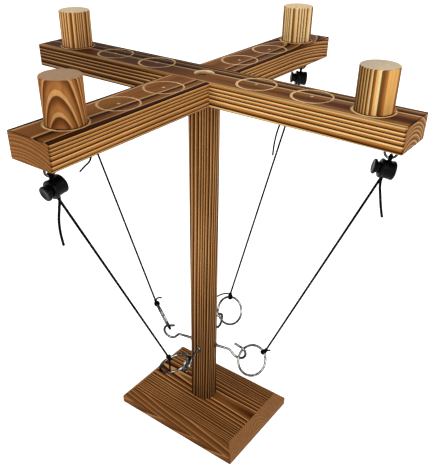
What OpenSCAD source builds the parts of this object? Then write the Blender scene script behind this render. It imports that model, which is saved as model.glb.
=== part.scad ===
// Hook and ring toss game for four players: a post on a base carries two crossed
// arms, and from each arm a ring on a string is hooked to the post.
// Z is up, the origin is under the middle of the base, and the arms lie along X and Y.

/* [Base] */
// Length of the base, along X
base_l = 144; // [110:1:220]
// Width of the base, along Y
base_w = 104; // [90:1:180]
// Height of the base's upright edge
base_edge_h = 8.5; // [4:0.5:20]
// Height of the bevel above the upright edge
base_bevel_h = 9.5; // [4:0.5:16]
// How far the bevel runs in from the edge
base_bevel_w = 9; // [3:0.5:16]

/* [Post] */
// Diameter of the round post
post_d = 26; // [22:0.5:40]
// Height of the arms' top above the base's top
arm_height = 342; // [280:1:420]

/* [Arms] */
// Length of each crossed beam
beam_l = 348; // [320:1:420]
// Width of each beam
beam_w = 38; // [36:0.5:50]
// Height of each beam
beam_h = 19; // [16:0.5:28]
// Diameter of the recess over the hub screw
hub_recess_d = 15; // [10:0.5:24]
// Depth of the recess over the hub screw
hub_recess_depth = 4; // [2:0.5:6]

/* [Scoring circles] */
// Scoring circles on each arm
circle_count = 3; // [1:1:3]
// Distance from the hub to the first circle
circle_first = 49; // [42:0.5:60]
// Distance from one circle to the next
circle_pitch = 47; // [34:0.5:50]
// Outer diameter of each sawn circle
circle_d = 31.4; // [29:0.2:36]
// Width of the saw's groove
groove_w = 1.5; // [0.6:0.1:2.5]
// Depth of the saw's groove
groove_depth = 1.2; // [0.4:0.1:3]
// Diameter of the pilot hole in each circle
pilot_d = 2.6; // [1:0.1:5]
// Depth of the pilot hole
pilot_depth = 3; // [1:0.5:6]

/* [Pegs] */
// Diameter of a scoring peg
peg_d = 27; // [18:0.5:28]
// Height of a scoring peg
peg_h = 30; // [15:0.5:50]
// Chamfer on a peg's ends
peg_chamfer = 0.8; // [0.2:0.1:2]

/* [Hooks] */
// Diameter of the hook's wire
hook_wire = 2.6; // [1.8:0.1:3]
// Height of the hooks above the floor
hook_z = 87; // [60:1:120]
// How far round the post the hooks sit from the arms, in degrees
hook_turn = 12; // [0:1:20]
// Straight length of a hook outside the post
hook_neck = 13.5; // [8:0.5:20]
// How steeply the hook dips, in degrees
hook_dip = 50; // [30:1:60]
// Radius of the bend where the dip starts
hook_dip_r = 5; // [3:0.5:8]
// Straight length of the dip
hook_dip_l = 4; // [1:0.5:8]
// Radius of the hook's bend
hook_bend_r = 7.4; // [6:0.2:10]
// How far the bend turns past its widest point, in degrees
hook_close = 70; // [50:1:80]
// Straight length of the hook's tip
hook_tip = 7; // [4:0.5:8]
// Length of the hook's thread in the post
hook_thread = 10; // [6:0.5:10]
// Diameter of the collar at the post
hook_collar_d = 5; // [4:0.1:7]

/* [Rings] */
// Radius of a ring, to the middle of its wire
ring_r = 15; // [14:0.2:16]
// Diameter of the ring's wire
ring_wire = 2.2; // [1.6:0.1:2.4]

/* [Screw eyes] */
// Distance of the front right eye from its arm's end
eye_inset_front_right = 14; // [9:0.5:22]
// Distance of the back right eye from its arm's end
eye_inset_back_right = 16; // [9:0.5:22]
// Distance of the back left eye from its arm's end
eye_inset_back_left = 16; // [9:0.5:22]
// Distance of the front left eye from its arm's end
eye_inset_front_left = 13.5; // [9:0.5:22]
// Radius of an eye, to the middle of its wire
eye_r = 4.5; // [4:0.1:7]
// Diameter of the eye's wire
eye_wire = 1.8; // [1.2:0.1:2.2]
// Gap between the arm and the top of the eye
eye_drop = 1.1; // [0.4:0.1:3]
// Length of the eye's thread in the arm
eye_thread = 12; // [6:0.5:14]

/* [Cord locks] */
// Diameter of the lock's barrel
lock_d = 13.6; // [13:0.1:18]
// Length of the lock's barrel
lock_l = 11; // [10:0.5:16]
// Diameter of the barrel's bore
lock_bore_d = 8.4; // [8:0.1:8.6]
// Diameter of the button's head
button_d = 10.6; // [9:0.1:13]
// Thickness of the button's head
button_t = 2.2; // [1.2:0.1:4]
// How far the button can be pressed
button_travel = 2.5; // [1.5:0.1:2.5]
// Diameter of the hole that the string runs through
cord_hole_d = 4.4; // [4:0.1:4.6]
// Diameter of the spring inside the lock
spring_d = 4.6; // [3.6:0.1:5]
// Thickness of the spring's wire
spring_wire = 0.6; // [0.3:0.1:0.9]
// Turn of the strap slot round the barrel's own axis, in degrees
strap_turn = 44; // [0:1:60]

/* [String] */
// Diameter of the string
string_d = 1.8; // [1:0.1:1.8]

/* [Screws] */
// Diameter of the screws that hold the post
screw_d = 4; // [3:0.1:5]
// Diameter of the screws' heads
screw_head_d = 8; // [6:0.1:9.5]
// Thickness of the screws' heads
screw_head_t = 2.4; // [1.5:0.1:3]
// Length of the hub screw below its head
hub_screw_l = 48; // [35:1:80]
// Length of the base screw below its head
base_screw_l = 42; // [30:1:70]
// Diameter of the recess under the base
base_recess_d = 11; // [10:0.5:16]
// Depth of the recess under the base
base_recess_depth = 5; // [3:0.5:8]

/* [Hidden] */

// The four arms, by number
front_right = 0;
back_right = 1;
back_left = 2;
front_left = 3;
arm_angles = [0, 90, 180, 270];

wood = "peru";
pale_wood = "burlywood";
steel = "silver";
plastic = "#16181b";
cord_black = "#101010";

// Smoothness of round shapes
round_fn = 96;
wire_fn = 32;
// Small overlap that joins shapes of one solid, or carries a cut past a face
lap = 0.1;
// Gap round a thread in its hole
thread_gap = 0.05;
// How much thinner straight wire is than its bends, which it runs into
wire_step = 0.06;
// Gap between the cheeks of the lap joint
joint_gap = 0.1;
// Gap between parts that slide or hang on each other
slide_gap = 0.2;
hang_gap = 0.3;

base_h = base_edge_h + base_bevel_h;
arm_top = base_h + arm_height;
arm_bottom = arm_top - beam_h;
lap_z = arm_top - beam_h / 2;

// Hook: places along its wire, in the hook's own plane, from the post's middle
post_r = post_d / 2;
dip_start = post_r + hook_neck;
bend_u = dip_start + (hook_dip_r + hook_bend_r) * sin(hook_dip) + hook_dip_l * cos(hook_dip);
bend_z = hook_z - hook_dip_r * (1 - cos(hook_dip)) - hook_dip_l * sin(hook_dip)
    + hook_bend_r * cos(hook_dip);
collar_l = 1.2;

// Rings as they hang, on lines turned by hook_turn: centre from the post's middle and the
// hooks' height, lean and turn of the ring's axis, and where the string is tied round the wire
ring_centres = [[54.7, -5.2, -0.85], [56.05, -4.85, 2.8], [48.7, -3.7, 14.2], [51.3, -6.3, 9.3]];
ring_leans = [49, 57, 72, 72];
ring_turns = [-107, -118, -132, -133];
knot_places = [150, 156, 153, 153];

// Knot: a lump outside the ring and two turns round its wire
knot_r = 1.8;
turn_r = ring_wire / 2 + 0.15 + string_d / 2;
knot_out = ring_wire / 2 + 0.15 + knot_r;
turn_gap = 0.05;
tag_sides = 6;
// Short ends of string past each knot, from the knot's middle, along its ring's own axes
tag_ends = [
    [[0, 0, 0], [1.4, -1.2, -0.7], [2.6, -1.8, -1.3], [3.6, -1.9, -1.9]],
    [[0, 0, 0], [0.4, 3.5, -2], [-0.3, 7.7, -4.7], [-2.9, 12.1, -7.8]],
    [[0, 0, 0], [1.5, 0, 1.9], [1.7, 0.4, 4.7], [0.1, 1.2, 7.1]],
    [[0, 0, 0], [-0.5, 0.3, -2.4], [-4.8, -1.9, -4], [-9, -4, -5.5], [-13.2, -6.1, -7]]
];

// Screw eye
eye_insets = [eye_inset_front_right, eye_inset_back_right, eye_inset_back_left, eye_inset_front_left];
eye_us = [for (inset = eye_insets) beam_l / 2 - inset];
eye_centre_z = arm_bottom - eye_drop - eye_wire / 2 - eye_r;
eye_low_z = eye_centre_z - eye_r;

// Cord lock: lean of its string hole from upright, and turn about that hole
lock_leans = [14, 8, 12, 12];
lock_turns = [30, -53, 20, 180];
lock_gap = 1.3;
lock_below_eye = lock_d / 2 + eye_wire / 2 + lock_gap;
lock_start = -4.5;
bore_end = lock_start + lock_l - 1;
head_gap = 2.5;
cord_room = string_d / 2 + hang_gap;
strand_y = string_d / 2 + 0.15;
slot_start = -cord_room - button_travel;
stem_end = cord_room + 0.8;
stem_r = lock_bore_d / 2 - slide_gap;
slot_w = 2 * (strand_y + string_d / 2 + slide_gap);
strap_slot_l = 3.6;
strap_slot_h = 1.4;
strap_t = 0.7;
barrel_round = 0.8;

// String: its sides, and its way up through the lock, over the eye and down again,
// from the lock's middle along the lock's own axes
string_sides = 8;
loop_r = eye_wire / 2 + hang_gap + string_d / 2;
loop_steps = 5;
lock_exit = lock_d / 2 + 1;
// Shares of the straight run from the lock to the knot where the string has a ring
run_shares = [0.02, 0.35, 0.68];
// The string's loose end below each lock, from the low point of the eye's wire
tail_points = [
    [[-3.6, -0.8, -22], [-2.4, -0.4, -29], [-1, 0, -36.5], [1.2, 0.6, -45.7]],
    [[-5, 2.5, -28], [-9, 8.5, -43], [-12.7, 13.6, -60], [-13.4, 16.8, -76], [-13, 18.3, -91.6]],
    [[-4.8, -2.2, -34], [-10.5, -3.6, -58], [-13.1, -4, -76], [-9.5, -4, -84.9], [-1.5, -4, -92.6],
        [6.9, -4, -100.8]],
    [[-2.9, 0.2, -24], [-2.2, -1.2, -34], [-1.9, -1, -43.5], [-2.2, 0.1, -52.5]]
];

function unit(v) = v / norm(v);
function turned(p, a) = [p.x * cos(a) - p.y * sin(a), p.x * sin(a) + p.y * cos(a), p.z];
// Point p after a lean about Y and then a turn about Z
function leaned(p, a) = [p.x * cos(a) + p.z * sin(a), p.y, p.z * cos(a) - p.x * sin(a)];
// From a ring's own axes to the arm's line
function ring_dir(p, i) = turned(leaned(p, ring_leans[i]), ring_turns[i] + hook_turn);
function ring_centre(i) = turned(ring_centres[i], hook_turn) + [0, 0, hook_z];
function ring_point(p, i) = ring_centre(i) + ring_dir(p, i);
function round_place(r, i) = [r * cos(knot_places[i]), r * sin(knot_places[i]), 0];
function knot_centre(i) = ring_point(round_place(ring_r + knot_out, i), i);
// From a lock's own axes to the arm's line
function eye_point(i) = [eye_us[i], 0, eye_low_z];
function lock_dir(p, i) = leaned(turned(p, lock_turns[i]), lock_leans[i]);
function lock_point(p, i) = eye_point(i) + lock_dir([p.x, p.y, p.z - lock_below_eye], i);

loop_way = concat(
    [[0, strand_y, -lock_exit], [0, strand_y, 0], [0, strand_y, lock_d / 2]],
    [for (k = [0 : loop_steps]) let (a = 180 * k / loop_steps)
        [0, loop_r * cos(a), lock_below_eye + loop_r * sin(a)]],
    [[0, -strand_y, lock_d / 2], [0, -strand_y, 0], [0, -strand_y, -lock_exit]]
);
function run_start(i) = lock_point(loop_way[0], i);
function run_end(i) = let (k = knot_centre(i), d = unit(run_start(i) - k)) k + d * (knot_r + turn_gap);
function string_way(i) = concat(
    [run_end(i)],
    [for (k = [len(run_shares) - 1 : -1 : 0])
        run_start(i) + (run_end(i) - run_start(i)) * run_shares[k]],
    [for (p = loop_way) lock_point(p, i)],
    [for (p = tail_points[i]) eye_point(i) + p]
);

// Tube of n sides swept along points, with flat ends
function way_dir(pts, i) = let (last = len(pts) - 1)
    unit(unit(pts[min(i + 1, last)] - pts[min(i, last - 1)])
        + unit(pts[max(i, 1)] - pts[max(i - 1, 0)]));
function across(v, t) = unit(v - t * (v * t));
function way_sides(pts, i, side) = i == len(pts) ? [] : let (s = across(side, way_dir(pts, i)))
    concat([s], way_sides(pts, i + 1, s));
module tube(pts, d, n, first_side) {
    last = len(pts) - 1;
    sides = way_sides(pts, 0, first_side);
    rings = [for (i = [0 : last]) let (t = way_dir(pts, i), s = sides[i], c = cross(t, s))
        each [for (k = [0 : n - 1])
            pts[i] + (s * cos(360 * k / n) + c * sin(360 * k / n)) * d / 2]];
    walls = [for (i = [0 : last - 1]) each [for (k = [0 : n - 1])
        let (a = i * n + k, b = i * n + (k + 1) % n) each [[a, b + n, b], [a, a + n, b + n]]]];
    start_cap = [for (k = [1 : n - 2]) [0, k, k + 1]];
    end_cap = [for (k = [1 : n - 2]) [last * n, last * n + k + 1, last * n + k]];
    polyhedron(rings, concat(walls, start_cap, end_cap), convexity = 4);
}

module on_arm(i) {
    rotate([0, 0, arm_angles[i]]) children();
}

module on_hook_line(i) {
    rotate([0, 0, arm_angles[i] + hook_turn]) children();
}

module at_ring(i) {
    on_arm(i) translate(ring_centre(i))
        rotate([0, ring_leans[i], ring_turns[i] + hook_turn]) children();
}

module at_lock(i) {
    on_arm(i) translate(eye_point(i)) rotate([0, lock_leans[i], 0])
        rotate([0, 0, lock_turns[i]]) translate([0, 0, -lock_below_eye]) children();
}

module wire_ring(r, d) {
    rotate_extrude($fn = round_fn) translate([r, 0]) circle(d = d, $fn = wire_fn);
}

module beam() {
    translate([-beam_l / 2, -beam_w / 2, arm_bottom]) cube([beam_l, beam_w, beam_h]);
}

// Circles and pilot holes along both arms of a beam, and the holes for its two eyes
module beam_cuts(eye_plus, eye_minus) {
    for (side = [0, 180], k = [0 : circle_count - 1]) {
        rotate([0, 0, side]) translate([circle_first + k * circle_pitch, 0, arm_top]) {
            translate([0, 0, -groove_depth]) difference() {
                cylinder(d = circle_d, h = groove_depth + lap, $fn = round_fn);
                translate([0, 0, -lap]) cylinder(d = circle_d - 2 * groove_w,
                    h = groove_depth + 3 * lap, $fn = round_fn);
            }
            translate([0, 0, -pilot_depth])
                cylinder(d = pilot_d, h = pilot_depth + lap, $fn = wire_fn);
        }
    }
    for (u = [eye_plus, -eye_minus]) {
        translate([u, 0, arm_bottom - lap])
            cylinder(d = eye_wire + 2 * thread_gap, h = eye_thread + lap + thread_gap, $fn = wire_fn);
    }
    translate([0, 0, arm_bottom - lap])
        cylinder(d = screw_d + 2 * slide_gap, h = beam_h + 2 * lap, $fn = wire_fn);
}

module base_board() {
    color(wood) difference() {
        intersection() {
            rotate([90, 0, 90]) linear_extrude(base_l, center = true) base_outline(base_w);
            rotate([90, 0, 0]) linear_extrude(base_w, center = true) base_outline(base_l);
        }
        translate([0, 0, -lap]) cylinder(d = base_recess_d, h = base_recess_depth + lap, $fn = round_fn);
        translate([0, 0, -lap]) cylinder(d = screw_d + 2 * slide_gap, h = base_h + 2 * lap, $fn = wire_fn);
    }
}

module base_outline(w) {
    polygon([[-w / 2, 0], [w / 2, 0], [w / 2, base_edge_h], [w / 2 - base_bevel_w, base_h],
        [-w / 2 + base_bevel_w, base_h], [-w / 2, base_edge_h]]);
}

module post() {
    color(wood) difference() {
        translate([0, 0, base_h]) cylinder(d = post_d, h = arm_bottom - base_h, $fn = round_fn);
        translate([0, 0, base_h - lap]) cylinder(d = screw_d + 2 * thread_gap,
            h = base_recess_depth + base_screw_l - base_h + 2 * lap, $fn = wire_fn);
        translate([0, 0, arm_top - hub_recess_depth - hub_screw_l - lap])
            cylinder(d = screw_d + 2 * thread_gap, h = hub_screw_l, $fn = wire_fn);
        for (i = [0 : 3]) {
            on_hook_line(i) translate([post_r - hook_thread - thread_gap, 0, hook_z]) rotate([0, 90, 0])
                cylinder(d = hook_wire + 2 * thread_gap, h = hook_thread + 1, $fn = wire_fn);
        }
    }
}

module long_beam() {
    color(wood) difference() {
        beam();
        beam_cuts(eye_us[front_right], eye_us[back_left]);
        translate([-beam_w / 2 - joint_gap, -beam_w, arm_bottom - lap])
            cube([beam_w + 2 * joint_gap, 2 * beam_w, lap_z - arm_bottom + lap]);
        translate([0, 0, arm_top - hub_recess_depth])
            cylinder(d = hub_recess_d, h = hub_recess_depth + lap, $fn = round_fn);
    }
}

module cross_beam() {
    color(wood) rotate([0, 0, 90]) difference() {
        beam();
        beam_cuts(eye_us[back_right], eye_us[front_left]);
        translate([-beam_w / 2 - joint_gap, -beam_w, lap_z])
            cube([beam_w + 2 * joint_gap, 2 * beam_w, arm_top - lap_z + lap]);
    }
}

// Screw with its head's underside at the origin, pointing down
module wood_screw(l) {
    point_l = screw_d;
    slot = screw_d / 2;
    difference() {
        union() {
            cylinder(d = screw_head_d, h = screw_head_t, $fn = round_fn);
            translate([0, 0, point_l - l]) cylinder(d = screw_d, h = l - point_l + lap, $fn = wire_fn);
            translate([0, 0, -l]) cylinder(d1 = 0.6, d2 = screw_d, h = point_l, $fn = wire_fn);
        }
        translate([-slot, -0.4, screw_head_t - 1]) cube([2 * slot, 0.8, 1 + lap]);
        translate([-0.4, -slot, screw_head_t - 1]) cube([0.8, 2 * slot, 1 + lap]);
    }
}

module hub_screw() {
    color(steel) translate([0, 0, arm_top - hub_recess_depth]) wood_screw(hub_screw_l);
}

module base_screw() {
    color(steel) translate([0, 0, base_recess_depth]) rotate([180, 0, 0]) wood_screw(base_screw_l);
}

module peg(i) {
    color(pale_wood) on_arm(i)
        translate([circle_first + (circle_count - 1) * circle_pitch, 0, arm_top]) {
            cylinder(d1 = peg_d - 2 * peg_chamfer, d2 = peg_d, h = peg_chamfer, $fn = round_fn);
            translate([0, 0, peg_chamfer])
                cylinder(d = peg_d, h = peg_h - 2 * peg_chamfer, $fn = round_fn);
            translate([0, 0, peg_h - peg_chamfer])
                cylinder(d1 = peg_d, d2 = peg_d - 2 * peg_chamfer, h = peg_chamfer, $fn = round_fn);
        }
}

// Piece of wire bent round the Y axis by angle a, from the Z axis towards X
module wire_bend(r, a) {
    rotate([90, 0, 0]) rotate([0, 0, 90 - a])
        rotate_extrude(angle = a, $fn = round_fn) translate([r, 0]) circle(d = hook_wire, $fn = wire_fn);
}

module hook(i) {
    straight_d = hook_wire - wire_step;
    point_l = 3;
    color(steel) on_hook_line(i) {
        translate([post_r - hook_thread, 0, hook_z]) rotate([0, 90, 0]) {
            cylinder(d1 = 0.6, d2 = straight_d, h = point_l, $fn = wire_fn);
            translate([0, 0, point_l])
                cylinder(d = straight_d, h = hook_thread + hook_neck - point_l + lap, $fn = wire_fn);
            translate([0, 0, hook_thread + thread_gap])
                cylinder(d = hook_collar_d, h = collar_l, $fn = wire_fn);
        }
        translate([dip_start, 0, hook_z - hook_dip_r]) {
            wire_bend(hook_dip_r, hook_dip);
            rotate([0, hook_dip, 0]) translate([-lap, 0, hook_dip_r]) rotate([0, 90, 0])
                cylinder(d = straight_d, h = hook_dip_l + 2 * lap, $fn = wire_fn);
        }
        translate([bend_u, 0, bend_z]) {
            rotate([0, 90 - hook_close, 0]) wire_bend(hook_bend_r, 90 + hook_dip + hook_close);
            rotate([0, -hook_close, 0]) translate([hook_bend_r, 0, -lap]) {
                cylinder(d = straight_d, h = hook_tip + lap, $fn = wire_fn);
                translate([0, 0, hook_tip + lap]) sphere(d = hook_wire, $fn = wire_fn);
            }
        }
    }
}

module eye(i) {
    color(steel) on_arm(i) translate([eye_us[i], 0, eye_centre_z]) {
        rotate([90, 0, lock_turns[i]]) wire_ring(eye_r, eye_wire);
        translate([0, 0, eye_r]) rotate([0, 0, 45])
            cylinder(d = eye_wire, h = eye_drop + eye_wire / 2 + eye_thread, $fn = wire_fn);
    }
}

module lock_barrel(i) {
    color(plastic) at_lock(i) difference() {
        translate([lock_start, 0, 0]) rotate([0, 90, 0]) {
            cylinder(d1 = lock_d - 2 * barrel_round, d2 = lock_d, h = barrel_round, $fn = round_fn);
            translate([0, 0, barrel_round])
                cylinder(d = lock_d, h = lock_l - 2 * barrel_round, $fn = round_fn);
            translate([0, 0, lock_l - barrel_round])
                cylinder(d1 = lock_d, d2 = lock_d - 2 * barrel_round, h = barrel_round, $fn = round_fn);
        }
        translate([lock_start - lap, 0, 0]) rotate([0, 90, 0])
            cylinder(d = lock_bore_d, h = bore_end - lock_start + lap, $fn = round_fn);
        cylinder(d = cord_hole_d, h = lock_d + lap, center = true, $fn = round_fn);
        rotate([-strap_turn, 0, 0])
            translate([cord_hole_d / 2 + 0.3, -lock_d / 2, lock_d / 2 - strap_t - strap_slot_h])
                cube([strap_slot_l, lock_d, strap_slot_h]);
    }
}

module lock_button(i) {
    head_start = lock_start - head_gap - button_t;
    color(plastic) at_lock(i) difference() {
        translate([head_start, 0, 0]) rotate([0, 90, 0]) {
            cylinder(d1 = button_d - 1, d2 = button_d, h = 0.5, $fn = round_fn);
            translate([0, 0, 0.5]) cylinder(d = button_d, h = button_t - 0.5, $fn = round_fn);
            cylinder(r = stem_r, h = stem_end - head_start, $fn = round_fn);
        }
        translate([slot_start, -slot_w / 2, -lock_d / 2])
            cube([cord_room - slot_start, slot_w, lock_d]);
        translate([stem_end - button_travel - slide_gap, 0, 0]) rotate([0, 90, 0])
            cylinder(d = spring_d + 2 * slide_gap, h = button_travel + slide_gap + lap, $fn = round_fn);
    }
}

module lock_spring(i) {
    color(steel) at_lock(i) translate([stem_end, 0, 0]) rotate([0, 90, 0]) difference() {
        cylinder(d = spring_d, h = bore_end - stem_end, $fn = round_fn);
        translate([0, 0, -lap])
            cylinder(d = spring_d - 2 * spring_wire, h = bore_end - stem_end + 2 * lap, $fn = round_fn);
    }
}

module cord(i) {
    color(cord_black) on_arm(i) tube(string_way(i), string_d, string_sides, [0, 1, 0]);
}

module ring(i) {
    color(steel) at_ring(i) wire_ring(ring_r, ring_wire);
}

module knot(i) {
    color(cord_black) {
        at_ring(i) rotate([0, 0, knot_places[i]]) {
            for (side = [-1, 1]) {
                translate([ring_r, side * (string_d / 2 + turn_gap / 2), 0]) rotate([90, 0, 0])
                    rotate_extrude($fn = wire_fn) translate([turn_r, 0]) circle(d = string_d, $fn = 16);
            }
            translate([ring_r + knot_out, 0, 0]) sphere(r = knot_r, $fn = wire_fn);
        }
        at_ring(i) rotate([0, 0, knot_places[i]]) translate([ring_r + knot_out, 0, 0])
            tube(tag_ends[i], string_d, tag_sides, [0, 0, 1]);
    }
}

base_board();
post();
long_beam();
cross_beam();
hub_screw();
base_screw();
peg(front_right);  // peg_front_right
peg(back_right);  // peg_back_right
peg(back_left);  // peg_back_left
peg(front_left);  // peg_front_left
hook(front_right);  // hook_front_right
hook(back_right);  // hook_back_right
hook(back_left);  // hook_back_left
hook(front_left);  // hook_front_left
eye(front_right);  // eye_front_right
eye(back_right);  // eye_back_right
eye(back_left);  // eye_back_left
eye(front_left);  // eye_front_left
lock_barrel(front_right);  // lock_barrel_front_right
lock_barrel(back_right);  // lock_barrel_back_right
lock_barrel(back_left);  // lock_barrel_back_left
lock_barrel(front_left);  // lock_barrel_front_left
lock_button(front_right);  // lock_button_front_right
lock_button(back_right);  // lock_button_back_right
lock_button(back_left);  // lock_button_back_left
lock_button(front_left);  // lock_button_front_left
lock_spring(front_right);  // lock_spring_front_right
lock_spring(back_right);  // lock_spring_back_right
lock_spring(back_left);  // lock_spring_back_left
lock_spring(front_left);  // lock_spring_front_left
cord(front_right);  // string_front_right
cord(back_right);  // string_back_right
cord(back_left);  // string_back_left
cord(front_left);  // string_front_left
ring(front_right);  // ring_front_right
ring(back_right);  // ring_back_right
ring(back_left);  // ring_back_left
ring(front_left);  // ring_front_left
knot(front_right);  // knot_front_right
knot(back_right);  // knot_back_right
knot(back_left);  // knot_back_left
knot(front_left);  // knot_front_left
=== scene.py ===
# Hook and ring toss game: burnt and brushed pine, bright steel wire, black string and cord locks.
import bpy
import bmesh
from math import sin, cos, pi, radians, atan2
from mathutils import Matrix, Vector


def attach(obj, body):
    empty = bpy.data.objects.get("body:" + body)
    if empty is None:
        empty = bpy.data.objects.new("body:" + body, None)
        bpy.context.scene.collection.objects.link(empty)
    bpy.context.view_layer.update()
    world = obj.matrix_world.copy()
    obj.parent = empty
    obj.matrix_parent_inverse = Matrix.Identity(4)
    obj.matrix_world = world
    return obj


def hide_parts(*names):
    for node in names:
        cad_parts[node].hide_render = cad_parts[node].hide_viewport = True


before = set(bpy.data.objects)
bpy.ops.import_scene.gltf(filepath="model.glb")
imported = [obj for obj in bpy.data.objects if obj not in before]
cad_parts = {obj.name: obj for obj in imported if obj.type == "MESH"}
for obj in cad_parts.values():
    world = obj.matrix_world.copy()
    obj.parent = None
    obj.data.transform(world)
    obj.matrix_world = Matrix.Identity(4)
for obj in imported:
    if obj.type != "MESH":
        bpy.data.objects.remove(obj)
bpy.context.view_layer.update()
mm = 0.001
arms = ["front_right", "back_right", "back_left", "front_left"]
armAngles = [0, 90, 180, 270]
black, white = (0, 0, 0, 1), (1, 1, 1, 1)
weldGap = 0.002 * mm        # points nearer than this become one
sharpAngle = radians(35)    # edges that turn by more than this look sharp
print("frame loaded")


# places, as the part's source has them
layout = {
    "armTop": 360, "armBottom": 341, "baseTop": 18, "hookZ": 87, "hookTurn": 12,
    "ringCentres": [(54.7, -5.2, 86.15), (56.05, -4.85, 89.8), (48.7, -3.7, 101.2), (51.3, -6.3, 96.3)],
    "ringLeans": [49, 57, 72, 72], "ringTurns": [-107, -118, -132, -133],
    "knotPlaces": [150, 156, 153, 153],
    "eyeUs": [160, 158, 158, 160.5], "eyeLowZ": 330,
    "lockLeans": [14, 8, 12, 12], "lockTurns": [30, -53, 20, 180], "lockBelowEye": 9,
}


def spinZ(degrees):
    return Matrix.Rotation(radians(degrees), 4, "Z")


def spinY(degrees):
    return Matrix.Rotation(radians(degrees), 4, "Y")


def spinX(degrees):
    return Matrix.Rotation(radians(degrees), 4, "X")


def move(x, y, z):
    return Matrix.Translation((x * mm, y * mm, z * mm))


def armPlace(i):
    return spinZ(armAngles[i])


def hookPlace(i):
    return spinZ(armAngles[i] + layout["hookTurn"])


def ringPlace(i):
    return (hookPlace(i) @ move(*layout["ringCentres"][i])
            @ spinZ(layout["ringTurns"][i]) @ spinY(layout["ringLeans"][i]))


def eyePlace(i):
    return armPlace(i) @ move(layout["eyeUs"][i], 0, layout["eyeLowZ"])


def lockPlace(i):
    return (eyePlace(i) @ spinY(layout["lockLeans"][i]) @ spinZ(layout["lockTurns"][i])
            @ move(0, 0, -layout["lockBelowEye"]))


# camera: the photograph's own place and lens, in pixels of its 434 x 473 frame
view = {"focal": 613.86, "centreX": 215.79, "centreY": 265.58, "wide": 434, "high": 473,
        "place": (295.1, -387.7, 494.57),
        "right": (0.80511, 0.59303, 0.01098), "down": (0.32931, -0.43153, -0.83985),
        "forward": (-0.49331, 0.67978, -0.54271), "sensor": 36, "clip": (0.01, 20)}


def makeCamera():
    data = bpy.data.cameras.new("photoView")
    data.sensor_width = view["sensor"]
    data.lens = view["focal"] * data.sensor_width / view["high"]
    data.shift_x = (view["wide"] / 2 - view["centreX"]) / view["high"]
    data.shift_y = (view["centreY"] - view["high"] / 2) / view["high"]
    data.clip_start, data.clip_end = view["clip"]
    cam = bpy.data.objects.new("photoView", data)
    turn = Matrix((view["right"], -Vector(view["down"]), -Vector(view["forward"]))).transposed()
    cam.matrix_world = Matrix.Translation(Vector(view["place"]) * mm) @ turn.to_4x4()
    bpy.context.scene.collection.objects.link(cam)
    bpy.context.scene.camera = cam


makeCamera()
print("camera set")


# node helpers
def rgb(r, g, b):
    out = []
    for c in (r, g, b):
        c = c / 255
        out.append(c / 12.92 if c <= 0.04045 else ((c + 0.055) / 1.055) ** 2.4)
    return (*out, 1)


def tones(stops):
    return [(at, rgb(*colour)) for at, colour in stops]


class Nodes:
    def __init__(self, block):
        block.use_nodes = True
        self.block = block
        self.tree = block.node_tree

    def add(self, kind, *values, **settings):
        node = self.tree.nodes.new("ShaderNode" + kind)
        for key, value in settings.items():
            setattr(node, key, value)
        for slot, value in enumerate(values):
            self.put(node.inputs[slot], value)
        return node

    def put(self, socket, value):
        if isinstance(value, bpy.types.NodeSocket):
            self.tree.links.new(value, socket)
        else:
            socket.default_value = value

    def surface(self, values):
        for key, value in values.items():
            self.put(self.tree.nodes["Principled BSDF"].inputs[key], value)
        return self.block

    def calc(self, operation, *values, clamp=False):
        return self.add("Math", *values, operation=operation, use_clamp=clamp).outputs[0]

    def vec(self, operation, *values):
        node = self.add("VectorMath", *values, operation=operation)
        return node.outputs[1] if operation in ("LENGTH", "DOT_PRODUCT") else node.outputs[0]

    def join(self, x, y, z):
        return self.add("CombineXYZ", x, y, z).outputs[0]

    def split(self, vector):
        return self.add("SeparateXYZ", vector).outputs

    def noise(self, vector, scale, detail=2.0, rough=0.5):
        node = self.add("TexNoise", vector)
        node.inputs["Scale"].default_value = scale
        node.inputs["Detail"].default_value = detail
        node.inputs["Roughness"].default_value = rough
        return node.outputs[0]

    def rescale(self, value, fromLow, fromHigh, toLow, toHigh, smooth=False):
        node = self.add("MapRange", value, fromLow, fromHigh, toLow, toHigh)
        if smooth:
            node.interpolation_type = "SMOOTHSTEP"
        return node.outputs[0]

    def ramp(self, value, stops):
        node = self.add("ValToRGB", value)
        points = node.color_ramp.elements
        while len(points) < len(stops):
            points.new(0.5)
        for point, (at, colour) in zip(points, stops):
            point.position = at
            point.color = colour
        return node.outputs[0]

    def blend(self, share, a, b):
        node = self.add("Mix", data_type="RGBA")
        for slot, value in ((0, share), (6, a), (7, b)):
            self.put(node.inputs[slot], value)
        return node.outputs[2]

    def bump(self, height, strength, distance):
        node = self.add("Bump")
        node.inputs["Strength"].default_value = strength
        node.inputs["Distance"].default_value = distance
        self.put(node.inputs["Height"], height)
        return node.outputs[0]


# burnt and brushed pine: growth rings round a pith line, thin pale and thin dark lines, scorched patches.
# The looks of the boards change these. Line widths are shares of a ring. The noises slow, fibre and patch
# are drawn out along the grain: scale along it (stretch for the slow one), across it, detail, roughness.
pine = {"char": (34, 10, 1), "pale": (246, 198, 132), "paleLine": 0.26, "darkLine": 0.16, "darkCore": 0.6,
        "lineEdge": 0.04, "phase": 0.0, "uneven": 0.2, "unevenRate": 1.3, "wander": 1.5, "stretch": 5,
        "slow": (26, 2, 0.45), "fibre": (22, 620, 3, 0.6), "patch": (9, 45, 3, 0.55),
        "topScorch": 0.0, "topFades": [], "fades": [], "tints": [], "tintEdge": 0.15,
        "patchRange": (0.35, 0.7), "rimRange": (0.3, 1.3), "burnLeft": (0.1, 0.066, 0.045), "brushed": 0.45,
        "plainMix": (0.6, 0.5), "plainRange": (0.35, 0.75), "fibreTones": (0.86, 1.12), "fibreHeight": 0.3,
        "bump": (0.4, 0.4), "rough": (0.66, 0.5), "gloss": 0.02}


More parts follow.
